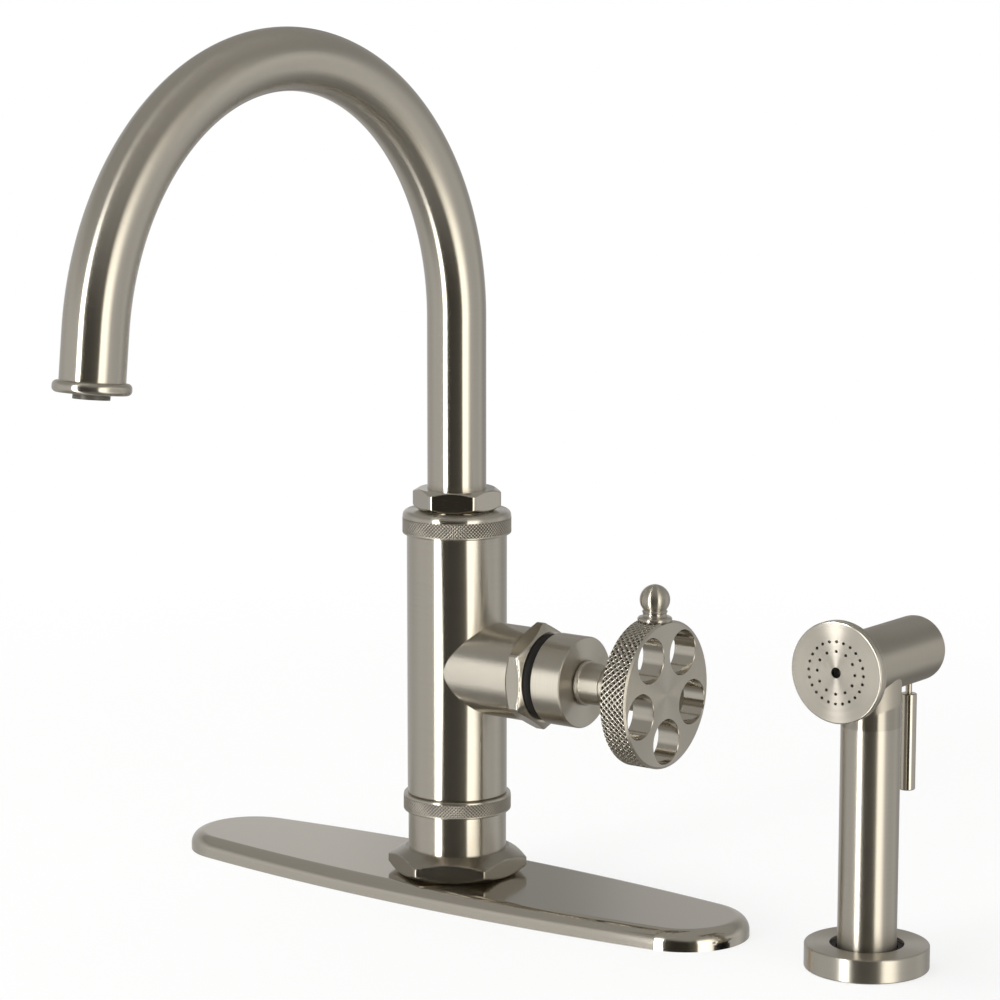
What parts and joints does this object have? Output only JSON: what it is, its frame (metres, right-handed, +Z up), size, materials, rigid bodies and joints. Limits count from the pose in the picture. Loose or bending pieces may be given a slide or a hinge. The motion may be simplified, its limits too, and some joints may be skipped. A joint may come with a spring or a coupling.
{
  "type": "side spray kitchen faucet",
  "caption": "Kitchen faucet with a high arched swivel spout, side wheel handle and long deck plate, with a separate pull-out side spray in its own deck holder.",
  "frame": {"origin": "on the mounting shank's axis, at the deck surface that the plate stands on", "axes": "+Z up, -Y the way the spout points (towards the user), +X towards the handle and the side spray"},
  "size_m": [0.326, 0.2456, 0.3738],
  "materials": {
    "satin_nickel": "fine brushed satin nickel plate",
    "knurled_nickel": "diamond knurled satin nickel plate",
    "stainless": "plain stainless steel",
    "brass": "machined brass",
    "black_plastic": "matt moulded plastic",
    "white_plastic": "matt moulded plastic",
    "ceramic": "polished ceramic",
    "rubber": "matt rubber"
  },
  "bodies": {
    "faucet": {"deck_plate": "satin_nickel", "plate_gasket": "rubber", "mounting_shank": "brass", "rubber_washer": "rubber", "steel_washer": "stainless", "mounting_nut": "brass", "base_hex_flange": "satin_nickel", "flange_seal": "rubber", "lower_sleeve": "satin_nickel", "lower_knurled_ring": "knurled_nickel", "hose_manifold": "brass", "valve_body": "satin_nickel", "diverter_sleeve": "white_plastic", "upper_knurled_ring": "knurled_nickel", "spout_hex_nut": "satin_nickel", "bonnet_hex_nut": "satin_nickel", "dust_cover": "black_plastic", "cartridge_seals": "rubber", "cartridge_base": "white_plastic", "fixed_disc": "ceramic", "cartridge_housing": "white_plastic", "cartridge_nut": "brass", "holder_flange": "satin_nickel", "holder_gasket": "rubber", "holder_shank": "black_plastic", "holder_liner": "black_plastic", "holder_washer": "rubber", "holder_nut": "black_plastic"},
    "spout": {"spout_tube": "satin_nickel", "spout_connector": "brass", "spout_o_rings": "rubber", "split_ring": "white_plastic", "outlet_ring": "satin_nickel", "aerator_body": "black_plastic", "aerator_screen": "stainless"},
    "diverter": {"diverter_piston": "black_plastic"},
    "turret": {"cartridge_turret": "white_plastic", "stem_pin": "stainless"},
    "handle": {"cartridge_stem": "stainless", "handle_hub": "satin_nickel", "set_screw": "stainless", "handle_stem": "satin_nickel", "hand_wheel": "knurled_nickel", "ball_knob": "satin_nickel"},
    "disc": {"moving_disc": "ceramic", "disc_carrier": "white_plastic"},
    "wand": {"wand_tube": "satin_nickel", "hose_connector": "brass", "check_valve": "white_plastic", "inner_tube": "white_plastic", "spray_head": "satin_nickel", "spray_face": "satin_nickel", "face_seal": "rubber", "rear_cap": "satin_nickel", "lever_pin": "stainless", "valve_seat": "white_plastic", "valve_spring": "stainless"},
    "lever": {"spray_lever": "satin_nickel"},
    "plunger": {"valve_plunger": "stainless", "valve_pad": "rubber"}
  },
  "joints": [
    {"name": "spout_swivel", "type": "hinge", "parent": "faucet", "child": "spout", "pos_m": [0, 0, 0.1502], "axis": [0, 0, 1], "continuous": true},
    {"name": "diverter_slide", "type": "slide", "parent": "faucet", "child": "diverter", "axis": [0, 0, 1], "range_m": [0, 0.002]},
    {"name": "handle_turn", "type": "hinge", "parent": "faucet", "child": "turret", "pos_m": [0, 0, 0.08725], "axis": [1, 0, 0], "range_deg": [-50, 50]},
    {"name": "handle_tilt", "type": "hinge", "parent": "turret", "child": "handle", "pos_m": [0.029, 0, 0.08725], "axis": [0, 1, 0], "range_deg": [0, 10]},
    {"name": "disc_slide", "type": "slide", "parent": "turret", "child": "disc", "axis": [0, 0, 1], "range_m": [0, 0.0012]},
    {"name": "wand_lift", "type": "slide", "parent": "faucet", "child": "wand", "axis": [0, 0, 1], "range_m": [0, 0.15]},
    {"name": "lever_squeeze", "type": "hinge", "parent": "wand", "child": "lever", "pos_m": [0.177, 0.0305, 0.0988], "axis": [-1, 0, 0], "range_deg": [0, 12], "stiffness_Nm_per_rad": 0.3, "springref_deg": -8.59},
    {"name": "plunger_slide", "type": "slide", "parent": "wand", "child": "plunger", "axis": [0, 1, 0], "range_m": [0, 0.00265], "deforming": ["valve_spring"]}
  ],
  "couplings": [
    {"joint": "disc_slide", "follows": "handle_tilt", "m_per_rad": 0.0066},
    {"joint": "lever_squeeze", "follows": "plunger_slide", "rad_per_m": 78.74}
  ]
}
